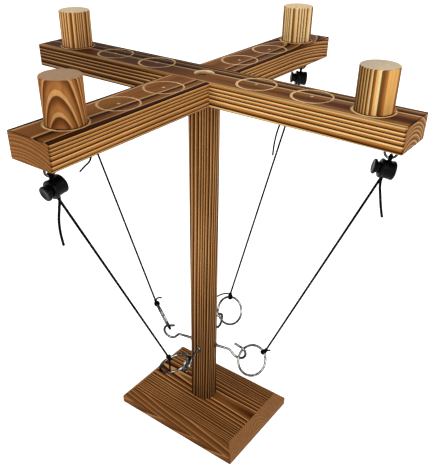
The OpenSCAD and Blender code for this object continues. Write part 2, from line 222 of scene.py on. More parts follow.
def burnt(n, colour, amount):
    return n.vec("MULTIPLY", colour, n.join(*[n.calc("POWER", left, amount) for left in pine["burnLeft"]]))


def fade(n, place, amount, fades):   # each adds a change that grows from one place along an axis to another
    for axis, start, end, change in fades:
        along = n.split(place)[axis]
        amount = n.calc("ADD", amount, n.rescale(along, start * mm, end * mm, 0, change))
    return amount


def burntPine(name, changes):
    look = {**pine, **changes}
    n = Nodes(bpy.data.materials.new(name))
    place = n.add("TexCoord").outputs["Object"]
    lead = Vector(look["grain"])
    turn = lead.to_track_quat("X", "Y" if abs(lead.z) > 0.5 else "Z").to_euler()
    pith = [c * mm for c in look["pith"]]
    x, y, z = n.split(n.add("Mapping", place, pith, turn[:], vector_type="TEXTURE").outputs[0])

    def streaks(along, across, detail, rough):
        parts = [n.calc("MULTIPLY", part, scale) for part, scale in ((x, along), (y, across), (z, across))]
        return n.noise(n.join(*parts), 1.0, detail, rough)

    fibre, patch = streaks(*look["fibre"]), streaks(*look["patch"])
    # rings wander slowly along the grain
    wander = n.calc("SUBTRACT", streaks(look["stretch"], *look["slow"]), 0.5)
    radius = n.calc("MULTIPLY_ADD", wander, look["wander"] * mm, n.vec("LENGTH", n.join(0, y, z)))
    if "sweep" in look:   # grain that swerves near one end: from where, and how much per mm squared
        start, amount = look["sweep"]
        beyond = n.calc("MAXIMUM", n.calc("SUBTRACT", x, start * mm), 0.0)
        radius = n.calc("MULTIPLY_ADD", n.calc("MULTIPLY", beyond, beyond), amount / mm, radius)
    count = n.calc("ADD", n.calc("DIVIDE", radius, look["ring"] * mm), look["phase"])
    swing = n.calc("SINE", n.calc("MULTIPLY", count, look["unevenRate"]))
    ringPart = n.calc("FRACT", n.calc("ADD", count, n.calc("MULTIPLY", swing, look["uneven"])))

    low, high, char, pale = [rgb(*look[key]) for key in ("low", "high", "char", "pale")]
    edge, strength = look["lineEdge"], look["lineStrength"]
    face = n.split(n.add("NewGeometry").outputs["Normal"])
    upward = n.calc("MAXIMUM", face[2], 0.0)

    def lines(paleShare, darkShare):   # a ring's tones and its brushed part, for these shares of the widths
        start, dark = 1 - (look["paleLine"] - edge) * paleShare, look["darkLine"] * darkShare
        body = n.ramp(ringPart, [(0.0, char), (dark * look["darkCore"], char), (dark + 2 * edge, low),
                                 (0.5, high), (start - 2 * edge, high), (start - edge, pale),
                                 (1 - edge, pale), (1.0, char)])
        clean = n.ramp(ringPart, [(start - 2 * edge, black), (start - edge, white), (1 - edge, white),
                                  (1.0, black)])
        return body, clean

    body, clean = lines(1.0, 1.0)
    if "topLines" in look:
        topBody, topClean = lines(*look["topLines"])
        body, clean = n.blend(upward, body, topBody), n.blend(upward, clean, topClean)
    fibreShare, patchShare = look["plainMix"]
    plain = n.calc("ADD", n.calc("MULTIPLY", fibre, fibreShare), n.calc("MULTIPLY", patch, patchShare))
    plain = n.ramp(plain, list(zip(look["plainRange"], (low, high))))
    colour = n.blend(strength, plain, body)

    # scorched more on the tops, near the edges and in patches
    scorch = n.rescale(patch, *look["patchRange"], *look["scorch"])
    topBurn = fade(n, place, look["topScorch"], look["topFades"])
    scorch = n.calc("ADD", scorch, n.calc("MULTIPLY", upward, topBurn))
    # the looks' fades add burn along an axis; the post's -x one is partly painted shade
    scorch = fade(n, place, scorch, look["fades"])
    if "half" in look:   # a sawn board's burnt corners
        off = n.split(n.vec("ABSOLUTE", n.vec("SUBTRACT", place, Vector(look["middle"]) * mm)))
        gap = [n.calc("SUBTRACT", half * mm, away) for half, away in zip(look["half"], off)]
        near, far = n.calc("MINIMUM", gap[0], gap[1]), n.calc("MAXIMUM", gap[0], gap[1])
        second = n.calc("MAXIMUM", near, n.calc("MINIMUM", far, gap[2]))
        start, end = look["rimRange"]
        rim = n.rescale(second, start * mm, end * mm, look["rim"], 0.0, smooth=True)
        scorch = n.calc("ADD", scorch, rim)
    # the pale lines are brushed clean, so the burn tells less on them
    kept = n.calc("ADD", n.calc("MULTIPLY", clean, -look["brushed"] * strength), 1.0)
    colour = burnt(n, colour, n.calc("MULTIPLY", n.calc("ADD", scorch, 0.0, clamp=True), kept))
    for axis, share, tint, start in look["tints"]:   # sawn end grain and bevels are plainer
        facing = n.rescale(n.calc("ABSOLUTE", face[axis]), start, start + look["tintEdge"], 0, 1)
        colour = n.blend(n.calc("MULTIPLY", facing, share), colour, rgb(*tint))
    colour = n.vec("SCALE", colour)
    n.put(colour.node.inputs["Scale"], n.rescale(fibre, 0.25, 0.75, *look["fibreTones"]))

    ridge = n.ramp(ringPart, [(0.0, black), (0.5, (0.5, 0.5, 0.5, 1)), (1 - look["paleLine"], white),
                              (1 - edge, (0.9, 0.9, 0.9, 1)), (1.0, black)])
    fibreHeight = n.calc("MULTIPLY", fibre, look["fibreHeight"])
    height = n.calc("ADD", n.calc("MULTIPLY", ridge, strength), fibreHeight)
    bumpStrength, bumpDeep = look["bump"]
    return n.surface({"Base Color": colour, "Normal": n.bump(height, bumpStrength, bumpDeep * mm),
                      "Roughness": n.rescale(ringPart, 0, 1, *look["rough"]),
                      "Specular IOR Level": look["gloss"]})


# the freshly sawn wood of circles, pilot holes and recesses
# it is browner on three of the arms; below the arms' top it gets darker with depth, a painted shade in the
# pilot holes and on the floor of the hub's recess
kerf = {"tones": [(0.3, (226, 180, 122)), (0.5, (250, 220, 170)), (0.75, (255, 238, 200))], "mottle": 0.08,
        # the last fade, down the z axis, is painted shade deep in the pilot holes and the hub's recess
        "fades": [(0, 0, -70, 0.2), (1, -5, -50, 0.12), (1, 5, 50, 0.06), (2, 359, 356.5, 0.7)]}


def paleKerf():
    n = Nodes(bpy.data.materials.new("pale_kerf"))
    place = n.add("TexCoord").outputs["Object"]
    spots = n.noise(place, 420, 3, 0.6)
    mottle = n.rescale(n.noise(place, 50), 0.4, 0.65, 0, kerf["mottle"])
    # the fades add the browning of three arms and, with depth, painted shade
    colour = burnt(n, n.ramp(spots, tones(kerf["tones"])), fade(n, place, mottle, kerf["fades"]))
    return n.surface({"Base Color": colour, "Normal": n.bump(spots, 0.3, 0.2 * mm), "Roughness": 0.75,
                      "Specular IOR Level": 0.1})


# metals: painted highlights: bright lines run along a wire where it faces one of the highlight ways, and
# painted shade makes it dark beside them.
# Without highlight ways the tone goes by how far a side faces up, a painted light: lighter on top, darker
# underneath.
metals = {
    "bright_steel": {"tones": [(0.0, (44, 43, 43)), (0.8, (56, 54, 52)), (0.9, (90, 87, 84)),
                               (0.96, (160, 157, 152)), (1.0, (206, 203, 198))],
                     "rough": 0.22, "spotty": 0.5,
                     "paintedHighlightWays": [(0.47, -0.62, 0.63), (0.73, 0.55, 0.34), (-0.55, 0.73, 0.34),
                              (-0.73, -0.55, 0.34)]},
    "yellow_zinc": {"tones": [(0.1, (64, 46, 26)), (0.7, (108, 80, 46)), (1.0, (140, 108, 62))],
                    "rough": 0.4, "spotty": 0.5, "paintedHighlightWays": []},
    "spring_steel": {"tones": [(0.2, (84, 84, 88)), (0.8, (150, 150, 154))],
                     "rough": 0.3, "spotty": 0.25, "paintedHighlightWays": []},
}


def metal(name):
    look = metals[name]
    n = Nodes(bpy.data.materials.new(name))
    place = n.add("TexCoord").outputs["Object"]
    normal = n.add("NewGeometry").outputs["Normal"]
    # facing is the painted light: how near the normal comes to a highlight way, or else how far it faces up
    if look["paintedHighlightWays"]:
        facing = 0.0
        for way in look["paintedHighlightWays"]:
            facing = n.calc("MAXIMUM", n.vec("DOT_PRODUCT", normal, way), facing)
    else:
        facing = n.calc("ADD", n.calc("MULTIPLY", n.split(normal)[2], 0.5), 0.5)
    reach, rough = look["spotty"] / 4, look["rough"]
    # the noise moves where the painted highlights and painted shade fall
    spots = n.rescale(n.noise(place, 260, 3, 0.6), 0.3, 0.7, -reach, reach)
    return n.surface({
        "Base Color": n.ramp(n.calc("ADD", facing, spots), tones(look["tones"])),
        "Roughness": n.rescale(n.noise(place, 900), 0.3, 0.7, rough - 0.06, rough + 0.08),
        "Normal": n.bump(n.noise(place, 1400), 0.08, 0.1 * mm),
        "Metallic": 1.0, "Specular Tint": (0.1, 0.1, 0.1, 1)})   # the tint makes the rims dark


def blackPlastic():
    n = Nodes(bpy.data.materials.new("black_plastic"))
    place = n.add("TexCoord").outputs["Object"]
    grainy = n.noise(place, 1500, 3, 0.6)
    return n.surface({
        "Base Color": n.ramp(n.noise(place, 160), tones([(0.35, (2, 2, 3)), (0.7, (8, 8, 10))])),
        "Roughness": n.rescale(grainy, 0.3, 0.7, 0.28, 0.4),
        "Normal": n.bump(grainy, 0.10, 0.05 * mm), "Specular IOR Level": 0.07})


def blackString():   # strands wind round, along the tube's own map
    n = Nodes(bpy.data.materials.new("black_string"))
    along, around = n.split(n.add("UVMap", uv_map="UVMap").outputs[0])[:2]
    lay = n.calc("FRACT", n.calc("ADD", n.calc("MULTIPLY", along, 0.9), n.calc("MULTIPLY", around, 3)))
    strand = n.calc("SINE", n.calc("MULTIPLY", lay, pi))
    fuzz = n.noise(n.add("TexCoord").outputs["Object"], 2600, 3, 0.7)
    height = n.calc("ADD", strand, n.calc("MULTIPLY", fuzz, 0.5))
    # strand crests are lighter and the grooves where strands meet darker: painted shade between the strands
    colour = n.ramp(n.calc("MULTIPLY", strand, fuzz), tones([(0.1, (2, 2, 3)), (0.6, (14, 14, 16))]))
    return n.surface({"Base Color": colour, "Normal": n.bump(height, 0.5, 0.3 * mm), "Roughness": 0.85,
                      "Specular IOR Level": 0.04})


kerfMat = paleKerf()
steelMat, screwMat, springMat = metal("bright_steel"), metal("yellow_zinc"), metal("spring_steel")
plasticMat = blackPlastic()
stringMat = blackString()
print("materials made")


# mesh helpers
def only(kind, geometry):
    return [g for g in geometry if isinstance(g, kind)]


def smoothShade(mesh):
    mesh.shade_smooth()
    mesh.set_sharp_from_angle(angle=sharpAngle)


def linkObject(name, mesh):
    piece = bpy.data.objects.new(name, mesh)
    bpy.context.scene.collection.objects.link(piece)
    return piece


def makeObject(bm, name, material):
    bmesh.ops.recalc_face_normals(bm, faces=bm.faces[:])
    mesh = bpy.data.meshes.new(name)
    bm.to_mesh(mesh)
    bm.free()
    mesh.materials.append(material)
    smoothShade(mesh)
    return linkObject(name, mesh)


def settle(piece, body, slotName, *nodes):
    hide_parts(*nodes)
    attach(piece, body)


def turnAll(bm, matrix):
    bmesh.ops.transform(bm, matrix=matrix, verts=bm.verts[:])


def bevelAll(bm, edges, size, segments):
    bmesh.ops.bevel(bm, geom=edges, offset=size * mm, offset_type="OFFSET", segments=segments, profile=0.5,
                    affect="EDGES", material=-1, clamp_overlap=True)


def cutWith(piece, cutters):
    for cutter in cutters:
        cut = piece.modifiers.new("cut", "BOOLEAN")
        cut.operation = "DIFFERENCE"
        cut.solver = "EXACT"
        cut.material_mode = "TRANSFER"
        cut.object = cutter
    graph = bpy.context.evaluated_depsgraph_get()
    mesh = bpy.data.meshes.new_from_object(piece.evaluated_get(graph))
    piece.modifiers.clear()
    piece.data = mesh
    smoothShade(mesh)
    for cutter in cutters:
        bpy.data.objects.remove(cutter)


def boxMesh(low, high):
    bm = bmesh.new()
    size = Vector(high) - Vector(low)
    bmesh.ops.create_cube(bm, size=1)
    bmesh.ops.scale(bm, verts=bm.verts[:], vec=size * mm)
    bmesh.ops.translate(bm, verts=bm.verts[:], vec=(Vector(low) + Vector(high)) / 2 * mm)
    return bm


def spinRound(bm, geometry, steps):
    bmesh.ops.spin(bm, geom=geometry, cent=(0, 0, 0), axis=(0, 0, 1), angle=2 * pi, steps=steps,
                   use_merge=True)
    bmesh.ops.remove_doubles(bm, verts=bm.verts[:], dist=weldGap)


def lathe(profile, steps=64):
    # profile: (distance from the axis, place along it) in mm, spun round Z
    bm = bmesh.new()
    verts = [bm.verts.new((r * mm, 0, h * mm)) for r, h in profile]
    edges = [bm.edges.new(pair) for pair in zip(verts, verts[1:])]
    spinRound(bm, verts + edges, steps)
    return bm


def wireRing(radius, wire, steps, sides):
    bm = bmesh.new()
    startWire(bm, wire / 2, sides, (radius, 0, 0), (0, -1, 0))
    spinRound(bm, bm.verts[:] + bm.edges[:], steps)
    return bm


def startWire(bm, radius, sides, centre, facing):
    ends = bmesh.ops.create_circle(bm, segments=sides, radius=radius * mm, cap_ends=False)["verts"]
    turn = Vector(facing).to_track_quat("Z", "Y").to_matrix().to_4x4()
    bmesh.ops.transform(bm, matrix=Matrix.Translation(Vector(centre) * mm) @ turn, verts=ends)
    return list(dict.fromkeys(e for v in ends for e in v.link_edges))


def pushWire(bm, edges, along, grow=1.0):
    out = bmesh.ops.extrude_edge_only(bm, edges=edges)["geom"]
    verts = only(bmesh.types.BMVert, out)
    bmesh.ops.translate(bm, verts=verts, vec=Vector(along) * mm)
    if grow != 1.0:
        middle = sum((v.co for v in verts), Vector()) / len(verts)
        bmesh.ops.scale(bm, verts=verts, vec=(grow, grow, grow), space=Matrix.Translation(-middle))
    fresh = set(verts)
    return [e for e in only(bmesh.types.BMEdge, out) if e.verts[0] in fresh and e.verts[1] in fresh]


def bendWire(bm, edges, centre, axis, angle, steps):
    out = bmesh.ops.spin(bm, geom=edges, cent=Vector(centre) * mm, axis=axis, angle=radians(angle),
                         steps=steps, use_merge=False)["geom_last"]
    return only(bmesh.types.BMEdge, out)


def capWire(bm, edges):
    bmesh.ops.contextual_create(bm, geom=edges)


def joinInto(bm, mesh):
    bm.from_mesh(mesh)
    bpy.data.meshes.remove(mesh)


def smoothPath(points, between):
    # points on a smooth line through the given ones
    out = []
    last = len(points) - 1
    for i in range(last):
        p0, p1, p2, p3 = (points[max(i - 1, 0)], points[i], points[i + 1], points[min(i + 2, last)])
        reach = (p2 - p1).length
        t1 = ((p2 - p0).normalized() * reach) if i > 0 else (p2 - p1)
        t2 = ((p3 - p1).normalized() * reach) if i + 1 < last else (p2 - p1)
        for k in range(between):
            t = k / between
            out.append(p1 * (2 * t ** 3 - 3 * t ** 2 + 1) + t1 * (t ** 3 - 2 * t ** 2 + t)
                       + p2 * (3 * t ** 2 - 2 * t ** 3) + t2 * (t ** 3 - t ** 2))
    out.append(points[-1])
    return out


def tubeAlong(path, diameter, name, sides=3):
    # a round tube on a path in metres; its own UV map runs in millimetres along it and once round
    curve = bpy.data.curves.new(name, "CURVE")
    curve.dimensions = "3D"
    curve.bevel_depth = diameter / 2 * mm
    curve.bevel_resolution = sides
    curve.use_fill_caps = True
    line = curve.splines.new("POLY")
    line.points.add(len(path) - 1)
    for point, at in zip(line.points, path):
        point.co = (*at, 1)
    holder = linkObject(name, curve)
    graph = bpy.context.evaluated_depsgraph_get()
    mesh = bpy.data.meshes.new_from_object(holder.evaluated_get(graph))
    bpy.data.objects.remove(holder)
    reached = [0.0]
    for a, b in zip(path, path[1:]):
        reached.append(reached[-1] + (b - a).length / mm)
    for corner in mesh.uv_layers["UVMap"].data:
        corner.uv = (reached[round(corner.uv[0] * (len(path) - 1))], corner.uv[1])
    return mesh


def tubePiece(mesh, name, material):
    mesh.materials.clear()
    mesh.materials.append(material)
    mesh.shade_smooth()
    return linkObject(name, mesh)


# base board
base = {"long": 144, "wide": 104, "edge": 8.5, "rise": 9.5, "run": 9, "round": 0.5,
        "recess": 11, "recessDepth": 5}


def makeBase():
    b = base
    bm = boxMesh((-b["long"] / 2, -b["wide"] / 2, 0), (b["long"] / 2, b["wide"] / 2, b["edge"]))
    top = max(bm.faces, key=lambda f: f.calc_center_median().z)
    out = bmesh.ops.extrude_face_region(bm, geom=[top])["geom"]
    bmesh.ops.delete(bm, geom=[top], context="FACES_ONLY")
    verts = only(bmesh.types.BMVert, out)
    shrink = (1 - 2 * b["run"] / b["long"], 1 - 2 * b["run"] / b["wide"], 1)
    bmesh.ops.translate(bm, verts=verts, vec=(0, 0, b["rise"] * mm))
    bmesh.ops.scale(bm, verts=verts, vec=shrink)
    bevelAll(bm, bm.edges[:], b["round"], segments=3)
    piece = makeObject(bm, "base_board_burnt", basePine)
    radius, deep = b["recess"] / 2, b["recessDepth"]
    hole = lathe([(0, -1), (radius, -1), (radius, deep), (0, deep)])
    cutWith(piece, [makeObject(hole, "recess", kerfMat)])
    settle(piece, "frame", "burnt_pine", "base_board")


# post
post = {"radius": 13, "ease": 0.3}


def makePost():
    r, e = post["radius"], post["ease"]
    low, high = layout["baseTop"], layout["armBottom"]
    bm = lathe([(0, low), (r - e, low), (r, low + e), (r, high - e), (r - e, high), (0, high)], steps=128)
    settle(makeObject(bm, "post_dowel", postPine), "frame", "burnt_pine", "post")


# crossed arms with sawn circles; the saw wandered, so a circle's cut is wider on one side
arm = {"half": 174, "halfWide": 19, "round": 0.8, "circles": [49, 96, 143], "outer": 15.7, "inner": 14.2,
       "lopsided": 0.4, "slope": 0.25, "flare": 0.2, "deep": 0.8, "pilot": 1.0, "pilotDeep": 3,
       "lap": 350.5, "gap": 0.1, "notchReach": 30, "hub": 7.5, "hubDeep": 4, "hubFlare": 0.6}


def grooveCutter(at, turn):
    a, top = arm, layout["armTop"]
    edge, over, floor = top - 0.1, top + 1, top - a["deep"]
    inner, outer, slope, flare = a["inner"], a["outer"], a["slope"], a["flare"]
    bm = lathe([(inner - flare, over), (inner, edge), (inner + slope, floor), (outer - slope, floor),
                (outer, edge), (outer + flare, over), (inner - flare, over)], steps=96)
    inside = [v for v in bm.verts if v.co.to_2d().length < (inner + outer) / 2 * mm]
    bmesh.ops.translate(bm, verts=inside, vec=spinZ(-turn) @ Vector((a["lopsided"] * mm, 0, 0)))
    turnAll(bm, spinZ(turn) @ move(at, 0, 0))
    return makeObject(bm, "groove", kerfMat)


def pilotCutter(at, turn):
    r, deep, top = arm["pilot"], arm["pilotDeep"], layout["armTop"]
    bm = lathe([(0, top - deep), (0.7 * r, top - deep + 0.4), (r, top - 0.6), (r + 0.3, top + 0.1),
                (r + 0.3, top + 1), (0, top + 1)], steps=24)
    turnAll(bm, spinZ(turn) @ move(at, 0, 0))
    return makeObject(bm, "pilot", kerfMat)


def hubCutter():
    r, flare, top = arm["hub"], arm["hubFlare"], layout["armTop"]
    floor = top - arm["hubDeep"]
    bm = lathe([(0, floor), (r - 0.2, floor), (r, floor + 0.3), (r, top - flare), (r + flare, top + 0.1),
                (r + flare, top + 1), (0, top + 1)])
    return makeObject(bm, "hub", kerfMat)


def makeArm(name, turn, material, node):   # the one along X laps over the other
    a = arm
    low, high = layout["armBottom"], layout["armTop"]
    notch, reach = a["halfWide"] + a["gap"], a["notchReach"]
    notchLow, notchHigh = (low - reach, a["lap"]) if turn == 0 else (a["lap"], high + reach)
    bm = boxMesh((-a["half"], -a["halfWide"], low), (a["half"], a["halfWide"], high))
    bevelAll(bm, bm.edges[:], a["round"], segments=3)
    turnAll(bm, spinZ(turn))
    piece = makeObject(bm, name, material)
    cutters = []
    for side in (turn, turn + 180):
        for at in a["circles"]:
            cutters += [grooveCutter(at, side), pilotCutter(at, side)]
    bm = boxMesh((-notch, -reach, notchLow), (notch, reach, notchHigh))
    turnAll(bm, spinZ(turn))
    cutters.append(makeObject(bm, "notch", material))
    if turn == 0:
        cutters.append(hubCutter())
    cutWith(piece, cutters)
    settle(piece, "frame", "burnt_pine", node)


# screws; the dome is in shares of the head's radius and thickness
screw = {"head": 4, "thick": 2.4, "dome": [(0, 1), (0.7, 1), (0.95, 0.72), (1, 0.3), (1, 0)],
         "core": 1.55, "crest": 2.0, "pitch": 1.8, "land": 0.4, "neck": 2, "point": 3.5,
         "slotTurns": (20, 110), "slotLong": 4.6, "slotWide": 0.84, "slotDeep": 1.3, "hub": 48, "base": 42}


def makeScrew(name, length, matrix, node):
    s = screw
    thick, core, crest, pitch, land = s["thick"], s["core"], s["crest"], s["pitch"], s["land"]
    profile = [(s["head"] * out, thick * up) for out, up in s["dome"]]
    profile += [(crest, 0), (core + 0.2, -s["neck"])]
    down = s["neck"]
    while down + pitch < length - 4:
        profile += [(core, -down - land), (crest, -down - pitch / 2), (core, -down - pitch + land)]
        down += pitch
    profile += [(core, -length + s["point"]), (0, -length)]
    piece = makeObject(lathe(profile, steps=48), name, screwMat)
    cutters = []
    half, halfWide = s["slotLong"] / 2, s["slotWide"] / 2
    for turn in s["slotTurns"]:
        bm = boxMesh((-half, -halfWide, thick - s["slotDeep"]), (half, halfWide, thick + 1))
        turnAll(bm, spinZ(turn))
        cutters.append(makeObject(bm, "slot", screwMat))
    cutWith(piece, cutters)
    piece.data.transform(matrix)
    settle(piece, "frame", "steel", node)


# scoring pegs
peg = {"at": 143, "radius": 13.5, "tall": 30, "ease": 0.9}


def makePegs():
    r, h, e = peg["radius"], peg["tall"], peg["ease"]
    for i, name in enumerate(arms):
        bm = lathe([(0, 0), (r - e * 0.6, 0), (r - 0.1, e * 0.5), (r, e), (r, h - e),
                    (r - 0.2, h - e * 0.35), (r - e * 0.8, h), (0, h)], steps=96)
        turnAll(bm, armPlace(i) @ move(peg["at"], 0, layout["armTop"]))
        piece = makeObject(bm, "peg_turned_" + name, pegPines[i])
        settle(piece, "peg_" + name, "burnt_pine", "peg_" + name)


# hooks: bent wire with a screw thread at the root and a collar on the post
# the tip is rounded in steps: how far on, and how much of the width is left
hook = {"wire": 2.6, "sides": 20, "postFace": 13, "inside": 10, "neck": 13.5, "dip": 50, "dipRadius": 5,
        "dipLong": 4, "bendRadius": 7.4, "turn": 210, "tip": 7, "tipRounding": [(0.8, 0.85), (0.4, 0.55)],
        "point": 0.4, "pointLong": 3, "collar": 2.5, "collarBore": 1.2, "collarThick": 1.2,
        "ridges": 5, "pitch": 1.0, "ridgeHeight": 1.17, "threadFrom": 1.1}


def makeHooks():
    h = hook
    z, out = layout["hookZ"], h["postFace"] + h["neck"]
    dip = radians(h["dip"])
    fallX = out + h["dipRadius"] * sin(dip)
    fallZ = z - h["dipRadius"] * (1 - cos(dip))
    bendX = fallX + h["dipLong"] * cos(dip) + h["bendRadius"] * sin(dip)
    bendZ = fallZ - h["dipLong"] * sin(dip) + h["bendRadius"] * cos(dip)
    close = radians(h["turn"] - 90 - h["dip"])
    straight = [(h["pointLong"], h["wire"] / 2 / h["point"]),
                (h["inside"] - h["pointLong"] + h["threadFrom"], 1.0)]
    for ridge in range(h["ridges"]):
        straight += [(h["pitch"] * 0.35, h["ridgeHeight"]), (h["pitch"] * 0.2, 1.0),
                     (h["pitch"] * 0.45, 1 / h["ridgeHeight"])]
    straight.append((h["neck"] - h["threadFrom"] - h["ridges"] * h["pitch"], 1.0))
    for i, name in enumerate(arms):
        bm = bmesh.new()
        edges = startWire(bm, h["point"], h["sides"], (h["postFace"] - h["inside"], 0, z), (1, 0, 0))
        capWire(bm, edges)
        for long, grow in straight:
            edges = pushWire(bm, edges, (long, 0, 0), grow)
        edges = bendWire(bm, edges, (out, 0, z - h["dipRadius"]), (0, 1, 0), h["dip"], steps=10)
        edges = pushWire(bm, edges, (h["dipLong"] * cos(dip), 0, -h["dipLong"] * sin(dip)))
        edges = bendWire(bm, edges, (bendX, 0, bendZ), (0, 1, 0), -h["turn"], steps=40)
        for long, grow in [(h["tip"], 1.0)] + h["tipRounding"]:
            edges = pushWire(bm, edges, (-long * sin(close), 0, long * cos(close)), grow)
        capWire(bm, edges)
        bmesh.ops.remove_doubles(bm, verts=bm.verts[:], dist=weldGap / 2)
        joinInto(bm, collarMesh(z))
        turnAll(bm, hookPlace(i))
        settle(makeObject(bm, "wire_hook_" + name, steelMat), "frame", "steel", "hook_" + name)


def collarMesh(z):
    r, bore, thick = hook["collar"], hook["collarBore"], hook["collarThick"]
    bm = lathe([(bore, 0.02), (r - 0.2, 0.02), (r, 0.2), (r, thick - 0.4), (r - 0.5, thick), (bore, thick)],
               steps=32)
    turnAll(bm, move(hook["postFace"], 0, z) @ spinY(90))
    mesh = bpy.data.meshes.new("collar")
    bm.to_mesh(mesh)
    bm.free()
    return mesh


# screw eyes under the arms
eye = {"radius": 4.5, "wire": 1.8, "sides": 18, "drop": 2.0, "inside": 12, "pointLong": 2, "point": 0.3}


def makeEyes():
    e = eye
    for i, name in enumerate(arms):
        bm = wireRing(e["radius"], e["wire"], steps=64, sides=e["sides"])
        turnAll(bm, spinX(90))
        edges = startWire(bm, e["wire"] / 2, e["sides"], (0, 0, e["radius"]), (0, 0, 1))
        capWire(bm, edges)
        edges = pushWire(bm, edges, (0, 0, e["drop"]))
        edges = pushWire(bm, edges, (0, 0, e["inside"] - e["pointLong"]))
        edges = pushWire(bm, edges, (0, 0, e["pointLong"]), e["point"])
        capWire(bm, edges)
        turnAll(bm, eyePlace(i) @ spinZ(layout["lockTurns"][i]) @ move(0, 0, e["radius"]))
        settle(makeObject(bm, "screw_eye_" + name, steelMat), "frame", "steel", "eye_" + name)


# rings: their wire is 0.3 thicker than in the solids, as thick as it shows. The butt weld is a low bead
# across the wire at "weld" degrees.
ring = {"radius": 15, "wire": 2.5, "weld": 200, "bead": 0.08, "beadHalf": 1.0}


def makeRings():
    r = ring
    for i, name in enumerate(arms):
        bm = wireRing(r["radius"], r["wire"], steps=120, sides=22)
        seam = radians(r["weld"])
        for v in bm.verts:
            off = abs((atan2(v.co.y, v.co.x) - seam + pi) % (2 * pi) - pi) * r["radius"]
            if off < r["beadHalf"]:
                middle = Vector((v.co.x, v.co.y, 0)).normalized() * r["radius"] * mm
                v.co = middle + (v.co - middle) * (1 + r["bead"] * (1 - off))
        turnAll(bm, ringPlace(i))
        settle(makeObject(bm, "steel_ring_" + name, steelMat), "ring_" + name, "steel", "ring_" + name)


# knots: two turns round the ring's wire, an overhand lump and a short end
knot = {"turn": 2.15, "cord": 1.8, "out": 3.05, "gap": 0.925, "slant": 0.12, "lump": (0.42, 0.62),
        "steps": 24,
        "tags": [[(0, 0, 0), (1.4, -1.2, -0.7), (2.6, -1.8, -1.3), (3.6, -1.9, -1.9)],
                 [(0, 0, 0), (0.4, 3.5, -2), (-0.3, 7.7, -4.7), (-2.9, 12.1, -7.8)],
                 [(0, 0, 0), (1.5, 0, 1.9), (1.7, 0.4, 4.7), (0.1, 1.2, 7.1)],
                 [(0, 0, 0), (-0.5, 0.3, -2.4), (-4.8, -1.9, -4), (-9, -4, -5.5), (-13.2, -6.1, -7)]]}


def makeKnots():
    k = knot
    wireX, lumpX = ring["radius"], ring["radius"] + k["out"]
    wide, high = k["lump"]
    turnAngles = [2 * pi * s / k["steps"] for s in range(k["steps"])] + [0]
    lumpAngles = [pi * s / k["steps"] for s in range(2 * k["steps"] + 1)]
    turns = [[Vector((wireX + k["turn"] * cos(a), side * k["gap"] + k["slant"] * sin(a),
                      k["turn"] * sin(a))) for a in turnAngles] for side in (-1, 1)]
    lump = [Vector((lumpX + wide * (sin(a) + 2 * sin(2 * a)), wide * (cos(a) - 2 * cos(2 * a)),
                    -high * sin(3 * a))) for a in lumpAngles]   # a small trefoil is the overhand knot
    for i, name in enumerate(arms):
        spot = ringPlace(i) @ spinZ(layout["knotPlaces"][i])
        tag = smoothPath([Vector((lumpX, 0, 0)) + Vector(p) for p in k["tags"][i]], 6)
        bm = bmesh.new()
        for path in turns + [lump, tag]:
            joinInto(bm, tubeAlong([spot @ (p * mm) for p in path], k["cord"], "cordPart"))
        piece = makeObject(bm, "black_knot_" + name, stringMat)
        settle(piece, "ring_" + name, "black_string", "knot_" + name)


# cord locks: barrel, sprung button and the spring inside
lock = {"radius": 6.8, "start": -4.5, "long": 11, "bore": 4.2, "wall": 1, "hole": 2.2, "holeFlare": 0.5,
        "reach": 9, "strap": 3.6, "strapHigh": 1.4, "strapTop": 0.7, "strapTurn": 44,
        "buttonRadius": 5.3, "buttonThick": 2.2, "headGap": 2.5, "stem": 4.0, "stemEnd": 2.0, "room": 1.2,
        "travel": 2.5, "slotWide": 2.15, "spring": 2.3, "springWire": 0.6, "coils": 5, "coilSteps": 20}


def alongX(bm, start):
    turnAll(bm, move(start, 0, 0) @ spinY(90))


def makeBarrels():
    d = lock
    r, long, bore, reach = d["radius"], d["long"], d["bore"], d["reach"]
    small, wide = d["hole"], d["hole"] + d["holeFlare"]
    low, near = r - d["strapTop"] - d["strapHigh"], d["hole"] + 0.3
    for i, name in enumerate(arms):
        bm = lathe([(bore, long - d["wall"]), (bore, 0.6), (bore + 0.4, 0), (r - 0.9, 0), (r - 0.25, 0.3),
                    (r, 0.9), (r, 2.0), (r - 0.45, 2.5), (r - 0.5, 3.2), (r - 0.35, long - 3),
                    (r - 0.05, long - 1.6), (r - 0.2, long - 0.7), (r - 0.9, long - 0.1), (r - 1.6, long),
                    (0, long)], steps=72)
        capWire(bm, [e for e in bm.edges if e.is_boundary])
        alongX(bm, d["start"])
        piece = makeObject(bm, "lock_barrel_moulded_" + name, plasticMat)
        hole = lathe([(0, -reach), (wide, -reach), (wide, -r + 0.1), (small, -r + 0.9), (small, r - 0.9),
                      (wide, r - 0.1), (wide, reach), (0, reach)], steps=40)
        strap = boxMesh((near, -reach, low), (near + d["strap"], reach, low + d["strapHigh"]))
        longEdges = [e for e in strap.edges if abs((e.verts[0].co - e.verts[1].co).y) > 1 * mm]
        bevelAll(strap, longEdges, 0.3, segments=2)
        turnAll(strap, spinX(-d["strapTurn"]))
        cutWith(piece, [makeObject(hole, "hole", plasticMat), makeObject(strap, "strap", plasticMat)])
        piece.data.transform(lockPlace(i))
        settle(piece, "line_" + name, "black_plastic", "lock_barrel_" + name)


